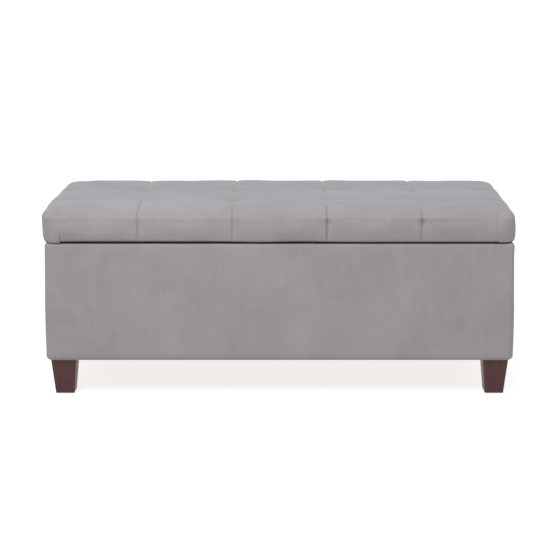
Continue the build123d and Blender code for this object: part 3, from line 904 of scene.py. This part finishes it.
profile = [(liner_inset * share, box_high.z) for share in (1.0, 0.8, 0.6, 0.4)]
profile += [(inset, box_high.z - drop) for inset, drop in quarter(RIM_RADIUS, True)]
wall_top, wall_bottom = box_high.z - RIM_RADIUS, box_low.z + FOOT_RADIUS
WALL_STEPS = 22
profile += [(0.0, wall_top + (wall_bottom - wall_top) * i / WALL_STEPS) for i in range(1, WALL_STEPS)]
profile += [(inset, box_low.z + lift) for inset, lift in quarter(FOOT_RADIUS, False)]
profile += [(inset, box_low.z) for inset in (under_inset * 0.75, under_inset)]

# %% Shape the band
BAND_STEP = 16 * MM
ring_place, ring_out = around(box_high.x, box_high.y, BOX_CORNER, BAND_STEP)
ring_count = len(ring_out)


def carried(rings):
    """Points of the rings at each (inset, height), the way out at each, and how far down it is, 0 to 1."""
    points = np.vstack([ring_place(inset, z) for inset, z in rings])
    out = np.column_stack([np.tile(ring_out, (len(rings), 1)), np.zeros(len(points))])
    return points, out, np.clip((box_high.z - points[:, 2]) / (box_high.z - box_low.z), 0, 1)


band_points, band_out, fall = carried(profile)
on_wall = [float(inset < FOOT_RADIUS and box_low.z < z < box_high.z) for inset, z in profile]
on_wall = np.repeat(on_wall, ring_count)
belly = BELLY * np.sin(np.clip(fall * 1.08, 0, 1) * math.pi / 2) ** 1.3 * np.clip((1.04 - fall) / 0.07, 0, 1)
ripple = RIPPLE * swell(band_points[:, 0], band_points[:, 1] * 1.7, band_points[:, 2] * 2.0)
ripple *= np.clip(np.minimum(fall / 0.1, (1 - fall) / 0.1), 0, 1)
seam = SEAM_DEPTH * bell(band_points[:, 0], SEAM_WIDTH) * (band_points[:, 1] > 0)
band_points += band_out * (on_wall * (belly + ripple - seam))[:, None]
band_faces = ring_faces(len(profile), ring_count, False)
band = new_piece("box_wrap_cover", band_points, band_faces, BOX_CLOTH)
band_surface = BVHTree.FromPolygons([tuple(p) for p in band_points], band_faces)
thicken(band, COVER_CLOTH)
finish_piece(band, "case", ["box_cover"])

# %% [markdown]
# ## The foam sheet round the box
# A thin foam sheet is glued round the plywood before the cloth goes on. It is the same profile idea with
# four corners: an outer wall that follows the cover, and an inner wall flat on the plywood.

# %% Padding round the box
SHEET_GAP = 1.4 * MM
PANEL_GAP = 0.1 * MM
PAD_BELLY = 0.75 * BELLY
pad_low, pad_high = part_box("box_padding")
pad_depth = box_high.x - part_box("right_panel")[1].x - PANEL_GAP
pad_heights = np.linspace(pad_low.z, pad_high.z, 16)
pad_rings = [(SHEET_GAP, z) for z in pad_heights] + [(pad_depth, z) for z in pad_heights[::-1]]
padding_points, pad_out, pad_fall = carried(pad_rings)
pad_belly = PAD_BELLY * np.sin(pad_fall * math.pi / 2) ** 1.5 * np.clip((1.0 - pad_fall) / 0.12, 0, 1)
on_outside = np.repeat([1.0, 0.0], len(pad_heights) * ring_count)
padding_points += pad_out * (on_outside * pad_belly)[:, None]
padding = new_piece("box_padding_sheet", padding_points, ring_faces(len(pad_rings), ring_count, True), FOAM)
finish_piece(padding, "case", ["box_padding"])

# %% [markdown]
# ## The linings
# Black spun cloth hides the timber inside the box, under the lid and under the box. Each lining is one sheet
# whose edges are folded under before it is stapled, so it has a double edge, and between the staples and
# over the open frame it is a little slack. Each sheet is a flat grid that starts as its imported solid's face,
# gets its slack from a rule, and is then thickened. A cloth simulation would give the same shallow waves
# for much more time.

# %% Lining sheets
FOLD_WIDTH = 14.0 * MM
FOLD_STEP = 1 * MM
RAIL_WIDTH = rail_high.z - rail_low.z + 5 * MM
SLACK_REACH = 60 * MM
LINING_STEP = 18.0 * MM
LINING_CLOTH = 0.5 * MM
SINGLE_SHARE = 0.35
LININGS = (
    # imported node, axis and sign that it faces, body, slack, what it is stapled to
    ("front_lining", (1, 1), "case", 3 * MM, "front_top_rail"),
    ("rear_lining", (1, -1), "case", 3 * MM, "rear_top_rail"),
    ("left_lining", (0, 1), "case", 0.3 * MM, "left_top_rail"),
    ("right_lining", (0, -1), "case", 0.3 * MM, "right_top_rail"),
    ("floor_lining", (2, 1), "case", 0.4 * MM, "floor_panel"),
    ("dust_cover", (2, -1), "case", 0.5 * MM, "front_bottom_rail"),
    ("lid_lining", (2, -1), "lid", 0.5 * MM, "lid_board"),
)


def lining_line(low, high):
    """Positions along one side of a sheet, with two lines close together at each folded edge."""
    count = max(4, round((high - low) / LINING_STEP))
    edges = [low + FOLD_WIDTH, low + FOLD_WIDTH + FOLD_STEP, high - FOLD_WIDTH - FOLD_STEP, high - FOLD_WIDTH]
    keep = [v for v in np.linspace(low, high, count + 1) if min(abs(v - e) for e in edges) > 3 * MM]
    return np.array(sorted(keep + edges))


def lining_sheet(node, facing, body, slack, support):
    """A lining in place of a packed slab, double along its edges and slack away from the rails."""
    low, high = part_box(node)
    flat_axis, sign = facing
    across, up = [axis for axis in range(3) if axis != flat_axis]
    spans = [lining_line(low[axis], high[axis]) for axis in (across, up)]
    u, v = (grid.ravel() for grid in np.meshgrid(*spans, indexing="ij"))
    from_edge = np.minimum.reduce([u - low[across], high[across] - u, v - low[up], high[up] - v])
    single = from_edge >= FOLD_WIDTH + 1e-6
    wave = 0.5 + 0.5 * np.sin(47.0 * u + 6.0 * np.sin(19.0 * v)) * np.sin(29.0 * v + 3.0 * np.sin(23.0 * u))
    sag = np.clip((from_edge - RAIL_WIDTH) / SLACK_REACH, 0, 1) * slack * wave
    depth = sag + single * (high[flat_axis] - low[flat_axis]) * SINGLE_SHARE
    points = np.empty((len(u), 3))
    points[:, across], points[:, up] = u, v
    points[:, flat_axis] = (high if sign > 0 else low)[flat_axis] - sign * depth
    columns = len(spans[1])
    starts = [i * columns + j for i in range(len(spans[0]) - 1) for j in range(columns - 1)]
    faces = [(a, a + columns, a + columns + 1, a + 1) for a in starts]
    if sign != (-1 if flat_axis == 1 else 1):
        faces = [face[::-1] for face in faces]
    sheet = new_piece(node + "_sheet", points, faces, LINING)
    thicken(sheet, LINING_CLOTH)
    return finish_piece(sheet, body, [node])


for row in LININGS:
    lining_sheet(*row)

# %% [markdown]
# ## Screws, by geometry nodes
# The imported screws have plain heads. Geometry nodes make one countersunk head with its cross-shaped recess
# and put a copy at each packed screw, each turned by its own amount, as a screwdriver leaves them. The tree
# takes its sizes as named inputs, so the same tree serves the hinges and the stays.

# %% Helpers for geometry node trees


def node_tree(name, inputs):
    """A geometry node tree with a geometry input, one float input for each name and value, and an output."""
    tree = bpy.data.node_groups.new(name, "GeometryNodeTree")
    tree.interface.new_socket("Geometry", in_out="INPUT", socket_type="NodeSocketGeometry")
    for label, value in inputs.items():
        socket = tree.interface.new_socket(label, in_out="INPUT", socket_type="NodeSocketFloat")
        socket.default_value = value
    tree.interface.new_socket("Finish", in_out="INPUT", socket_type="NodeSocketMaterial")
    tree.interface.new_socket("Geometry", in_out="OUTPUT", socket_type="NodeSocketGeometry")
    return tree, tree.nodes.new("NodeGroupInput"), tree.nodes.new("NodeGroupOutput")


def arithmetic(tree, operation, first, second):
    """One sum on two numbers or links."""
    return add_node(tree, "ShaderNodeMath", {"operation": operation}, {0: first, 1: second}).outputs[0]


def stacked(tree, x, y, z):
    """Three numbers or links as one vector."""
    return add_node(tree, "ShaderNodeCombineXYZ", X=x, Y=y, Z=z).outputs[0]


def outward(tree):
    """The direction out of the surface, which the carrier's points have as the attribute out."""
    settings = {"data_type": "FLOAT_VECTOR"}
    return add_node(tree, "GeometryNodeInputNamedAttribute", settings, Name="out").outputs[0]


def turned_by_chance(tree, facing, angle, low, high, seed):
    """A rotation turned about its own Z by an angle, and by a random one between low and high."""
    chance = add_node(tree, "FunctionNodeRandomValue", {"data_type": "FLOAT"}, Seed=seed)
    limits = [socket for socket in chance.inputs if socket.type == "VALUE" and socket.name in ("Min", "Max")]
    for socket, limit in zip(limits, (low, high)):
        socket.default_value = limit
    amount = [socket for socket in chance.outputs if socket.type == "VALUE" and socket.enabled][0]
    whole = arithmetic(tree, "ADD", angle, amount)
    spin = add_node(tree, "FunctionNodeAxisAngleToRotation", Axis=(0, 0, 1), Angle=whole).outputs[0]
    settings = {"rotation_space": "LOCAL"}
    return add_node(tree, "FunctionNodeRotateRotation", settings, Rotation=facing, Rotate_By=spin).outputs[0]


def end_tree(tree, ins, outs, places, shape, rotation, smooth=False):
    """Sets a shape on each place, makes the copies real, gives them their finish and ends the tree."""
    copies = add_node(tree, "GeometryNodeInstanceOnPoints", Points=places, Instance=shape, Rotation=rotation)
    real = add_node(tree, "GeometryNodeRealizeInstances", Geometry=copies.outputs[0]).outputs[0]
    shaded = add_node(tree, "GeometryNodeSetShadeSmooth", Geometry=real, Shade_Smooth=smooth).outputs[0]
    finish = add_node(tree, "GeometryNodeSetMaterial", Geometry=shaded, Material=ins.outputs["Finish"])
    tree.links.new(finish.outputs[0], outs.inputs[0])


def grown(name, tree, carrier_points, carrier_edges, outs, sizes, finish):
    """Runs a tree on a carrier mesh whose points have the attribute out. Returns a plain piece."""
    mesh = bpy.data.meshes.new(name + "_carrier")
    mesh.from_pydata([tuple(p) for p in carrier_points], carrier_edges, [])
    layer = mesh.attributes.new("out", "FLOAT_VECTOR", "POINT")
    layer.data.foreach_set("vector", np.asarray(outs, np.float32).ravel())
    piece = bpy.data.objects.new(name, mesh)
    SCENE.objects.link(piece)
    modifier = piece.modifiers.new("nodes", "NODES")
    modifier.node_group = tree
    values = {**sizes, "Finish": finish}
    for item in tree.interface.items_tree:
        if item.in_out == "INPUT" and item.name in values:
            modifier[item.identifier] = values[item.name]
    return apply_modifiers(piece)


# %% Tree for a countersunk screw
TIP_SHARE = 0.15
RECESS_LENGTH = 2.0
RECESS_WIDTH = 0.42


def screw_tree():
    """Countersunk screws with a cross recess, one at each carrier point, pointing along its attribute out."""
    sizes = {"Head Radius": 3.3 * MM, "Head Height": 1.6 * MM, "Shank Radius": 1.7 * MM}
    tree, ins, outs = node_tree("countersunk_screws", {**sizes, "Length": 12 * MM, "Recess": 1.9 * MM})
    size = ins.outputs

    def cone(sides, top, bottom, depth, sunk):
        """A blunt cone that starts that far under the face."""
        radii = {"Radius Top": top, "Radius Bottom": bottom}
        made = add_node(tree, "GeometryNodeMeshCone", None, radii, Vertices=sides, Depth=depth)
        place = {"Translation": stacked(tree, 0.0, 0.0, arithmetic(tree, "MULTIPLY", sunk, -1.0))}
        return add_node(tree, "GeometryNodeTransform", None, place, Geometry=made.outputs["Mesh"]).outputs[0]

    head = cone(32, size["Head Radius"], size["Shank Radius"], size["Head Height"], size["Head Height"])
    carved = add_node(tree, "GeometryNodeMeshBoolean", {"operation": "DIFFERENCE"}, Mesh_1=head)
    length = arithmetic(tree, "MULTIPLY", size["Recess"], RECESS_LENGTH)
    width = arithmetic(tree, "MULTIPLY", size["Recess"], RECESS_WIDTH)
    for first, second in ((length, width), (width, length)):
        arm = add_node(tree, "GeometryNodeMeshCube", Size=stacked(tree, first, second, size["Head Height"]))
        tree.links.new(arm.outputs["Mesh"], carved.inputs["Mesh 2"])
    tip = arithmetic(tree, "MULTIPLY", size["Shank Radius"], TIP_SHARE)
    shank_length = arithmetic(tree, "SUBTRACT", size["Length"], size["Head Height"])
    shank = cone(16, size["Shank Radius"], tip, shank_length, size["Length"])
    screw = add_node(tree, "GeometryNodeJoinGeometry")
    for part in (shank, carved.outputs[0]):
        tree.links.new(part, screw.inputs[0])
    facing = add_node(tree, "FunctionNodeAlignRotationToVector", {"axis": "Z"}, Vector=outward(tree))
    turned = turned_by_chance(tree, facing.outputs[0], 0.0, 0.0, math.pi / 2, seed=7)
    end_tree(tree, ins, outs, size["Geometry"], screw.outputs[0], turned)
    return tree


def screw_places(node):
    """Each packed screw's head middle and outward direction, and their length and head radius."""
    places, directions = [], []
    for points in solids_of(node):
        low, high = points.min(0), points.max(0)
        axis = int(np.argmax(high - low))
        middle = (low + high) / 2
        spread = np.linalg.norm(np.delete(points - middle, axis, axis=1), axis=1)
        ends = [spread[np.abs(points[:, axis] - end) < 0.05 * MM].max() for end in (low[axis], high[axis])]
        sign = 1.0 if ends[1] > ends[0] else -1.0
        middle[axis] = high[axis] if sign > 0 else low[axis]
        places.append(middle)
        directions.append(np.eye(3)[axis] * sign)
    return np.array(places), np.array(directions), float((high - low)[axis]), float(max(ends))


# %% Put the screws in
SCREW_TREE = screw_tree()
for node, name, body in (
    ("hinge_box_screws", "hinge_box_cross_screws", "case"),
    ("hinge_lid_screws", "hinge_lid_cross_screws", "lid"),
    ("stay_plate_screws", "stay_plate_cross_screws", "case"),
    ("stay_bracket_screws", "stay_bracket_cross_screws", "lid"),
):
    heads, out_of_head, length, head_radius = screw_places(node)
    sizes = {"Head Radius": head_radius, "Length": length, "Recess": head_radius * 0.58}
    screws = grown(name, SCREW_TREE, heads, [], out_of_head, sizes, STEEL)
    finish_piece(screws, body, [node])

# %% [markdown]
# ## Staples and stitches, by geometry nodes
# A staple shows only its crown, a short flat wire that lies on the cloth; a stitch is a short fat thread,
# half sunk in the seam. Both are one shape set along a line at even steps, so one tree makes both. It turns
# the carrier's edges into a curve, resamples it, and stands a rounded bar on each point, along the line for
# stitches, and at a slant for staples, as a hand leaves them.

# %% Tree for bars along a line
WOBBLE = 0.16


def bar_tree():
    """Rounded bars along the carrier's edges, lying on the surface whose direction is the attribute out."""
    sizes = {"Spacing": 50 * MM, "Length": 10 * MM, "Width": 1.2 * MM, "Height": 0.7 * MM, "Slant": 0.0}
    tree, ins, outs = node_tree("bars_along_a_line", sizes)
    size = ins.outputs
    curve = add_node(tree, "GeometryNodeMeshToCurve", Mesh=size["Geometry"]).outputs[0]
    spacing = {"Curve": curve, "Length": size["Spacing"]}
    even = add_node(tree, "GeometryNodeResampleCurve", {"mode": "LENGTH"}, spacing)
    tangent = add_node(tree, "GeometryNodeInputTangent").outputs[0]
    axes = {"primary_axis": "Z", "secondary_axis": "X"}
    directions = {"Primary Axis": outward(tree), "Secondary Axis": tangent}
    facing = add_node(tree, "FunctionNodeAxesToRotation", axes, directions).outputs[0]
    turned = turned_by_chance(tree, facing, size["Slant"], -WOBBLE, WOBBLE, seed=11)
    bar = add_node(tree, "GeometryNodeMeshUVSphere", Segments=10, Rings=6, Radius=0.5).outputs["Mesh"]
    lengths = stacked(tree, size["Length"], size["Width"], size["Height"])
    sized = add_node(tree, "GeometryNodeTransform", Geometry=bar, Scale=lengths).outputs[0]
    end_tree(tree, ins, outs, even.outputs[0], sized, turned, smooth=True)
    return tree


BAR_TREE = bar_tree()


def bars(name, lines, sizes, finish, body):
    """Bars along lines; each line is (points, outward direction)."""
    points, edges, outs = [], [], []
    for line, out in lines:
        start = len(points)
        points += [tuple(p) for p in line]
        edges += [(start + i, start + i + 1) for i in range(len(line) - 1)]
        outs += [out] * len(line)
    made = grown(name, BAR_TREE, points, edges, outs, sizes, finish)
    return finish_piece(made, body)


# %% Staples
STAPLE = {"Spacing": 45 * MM, "Length": 11 * MM, "Width": 1.3 * MM, "Height": 0.9 * MM, "Slant": 0.25}
STAPLE_EDGE = 7.0 * MM
STAPLE_INSET = 20.0 * MM


def border_lines(low, high):
    """Four lines just inside the edges of a flat sheet's underside."""
    x0, y0, x1, y1 = low.x + STAPLE_EDGE, low.y + STAPLE_EDGE, high.x - STAPLE_EDGE, high.y - STAPLE_EDGE
    corners = [(x0, y0, low.z), (x1, y0, low.z), (x1, y1, low.z), (x0, y1, low.z)]
    return [((corners[i], corners[(i + 1) % 4]), (0, 0, -1)) for i in range(4)]


under_lid = border_lines(hem_low, hem_high)
bars("lid_staples", under_lid, STAPLE, STEEL, "lid")
under_box = border_lines(dust_low, dust_high)
inside = []
for node, (axis, sign), *_ in LININGS[:4]:
    low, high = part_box(node)
    start, end = Vector(low), Vector(high)
    start[axis] = end[axis] = high[axis] if sign > 0 else low[axis]
    start.z = end.z = high.z - STAPLE_EDGE
    start[1 - axis] += STAPLE_INSET
    end[1 - axis] -= STAPLE_INSET
    inside.append(((tuple(start), tuple(end)), tuple(np.eye(3)[axis] * sign)))
bars("box_staples", under_box + inside, STAPLE, STEEL, "case")

# %% Stitches down the back seam
STITCH = {"Spacing": 4.5 * MM, "Length": 3.4 * MM, "Width": 0.9 * MM, "Height": 0.9 * MM, "Slant": 0.0}
STITCH_ROW = 4.5 * MM
stitch_lines = []
for seam_side in (-1, 1):
    line = []
    for z in np.linspace(box_low.z + 14 * MM, box_high.z - 6 * MM, 24):
        near = band_surface.find_nearest((seam_side * STITCH_ROW, box_high.y, z))[0]
        line.append((near.x, near.y, near.z))
    stitch_lines.append((line, (0, 1, 0)))
bars("back_seam_stitches", stitch_lines, STITCH, THREAD, "case")

# %% [markdown]
# ## Rubber bumpers
# The lid comes down on bumpers on the box's rim. They are turned shapes: a flat foot, a straight side and a
# soft dome. A sphere would need cutting; a short profile spun round its axis gives the whole closed shape,
# with one vertex at each pole.

# %% Spin a profile


def turned_shape(centres, profile, segments):
    """A closed turned shape on each centre. profile is (radius, height), from bottom pole to top pole."""
    points, faces = [], []
    for centre in centres:
        start = len(points)
        points.append(centre + np.array([0, 0, profile[0][1]]))
        for radius, height in profile[1:-1]:
            for i in range(segments):
                turn = 2 * math.pi * i / segments
                points.append(centre + np.array([radius * math.cos(turn), radius * math.sin(turn), height]))
        points.append(centre + np.array([0, 0, profile[-1][1]]))
        rings, last = len(profile) - 2, len(points) - 1
        for i in range(segments):
            j = (i + 1) % segments
            faces.append((start, start + 1 + j, start + 1 + i))
            top = start + 1 + (rings - 1) * segments
            faces.append((last, top + i, top + j))
            for ring in range(rings - 1):
                a, b = start + 1 + ring * segments, start + 1 + (ring + 1) * segments
                faces.append((a + i, a + j, b + j, b + i))
    return points, faces


# %% Bumpers on the rim
bumper_boxes = [(points.min(0), points.max(0)) for points in solids_of("rim_bumpers")]
bumper_low, bumper_top = bumper_boxes[0]
bumper_radius = (bumper_top[0] - bumper_low[0]) / 2
bumper_rise = bumper_top[2] - bumper_low[2]
dome = [(0.0, 0.0), (1.0, 0.0), (1.0, 0.30), (0.98, 0.42)]
dome += [(math.cos(t), 0.42 + 0.58 * math.sin(t)) for t in np.linspace(0.25, 1.35, 7)] + [(0.0, 1.0)]
dome = [(radius * bumper_radius, height * bumper_rise) for radius, height in dome]
feet = [np.array([(low[0] + high[0]) / 2, (low[1] + high[1]) / 2, low[2]]) for low, high in bumper_boxes]
bumper_points, bumper_faces = turned_shape(feet, dome, 28)
bumpers = new_piece("domed_rim_bumpers", bumper_points, bumper_faces, RUBBER)
finish_piece(bumpers, "case", ["rim_bumpers"])

# %% [markdown]
# ## The stage
# A white floor under a white, even sky, with one large soft lamp above and in front. A bench in a studio
# stands on a lit white sweep, which sends nearly as much light up as comes down, so the floor is given a
# glow of its own. The camera stands well back with a long lens, a little above the lid, and looks down.

# %% Floor
FLOOR_GLOW = 0.82
FLOOR_REACH = 30.0
WHITE, white_tree, white_shader = new_material("white_floor")
feed(white_tree, white_shader, Base_Color=(0.22, 0.22, 0.22), Roughness=0.9)
feed(white_tree, white_shader, Emission_Color=(1.0, 0.965, 0.94), Emission_Strength=FLOOR_GLOW)
corners = [(x * FLOOR_REACH, y * FLOOR_REACH, 0) for x, y in ((-1, -1), (1, -1), (1, 1), (-1, 1))]
floor = new_piece("floor", corners, [(0, 1, 2, 3)], WHITE, smooth=False)

# %% Sky and lamp
scene = bpy.context.scene
scene.world = bpy.data.worlds.new("studio")
scene.world.use_nodes = True
sky_tree = scene.world.node_tree
feed(sky_tree, sky_tree.nodes["Background"], Color=(1.0, 1.03, 1.09), Strength=1.0)
scene.view_settings.view_transform = "Standard"
KEY_PLACE = Vector((-0.8, -2.4, 3.8))
KEY_TARGET = Vector((0, 0, 0.3))
softbox = bpy.data.lights.new("key", "AREA")
softbox.size = 2.0
softbox.energy = 200
softbox.color = (1.0, 0.985, 0.985)
key = bpy.data.objects.new("key", softbox)
key.location = KEY_PLACE
key.rotation_euler = (KEY_TARGET - KEY_PLACE).to_track_quat("-Z", "Y").to_euler()
SCENE.objects.link(key)

# %% Camera
lens = bpy.data.cameras.new("camera")
lens.sensor_width = 36.0
lens.lens = 92.25
camera = bpy.data.objects.new("camera", lens)
camera.location = (0.001, -3.760, 1.160)
camera.rotation_euler = (math.radians(90.0 - 13.53), 0.0, 0.0)
SCENE.objects.link(camera)
scene.camera = camera
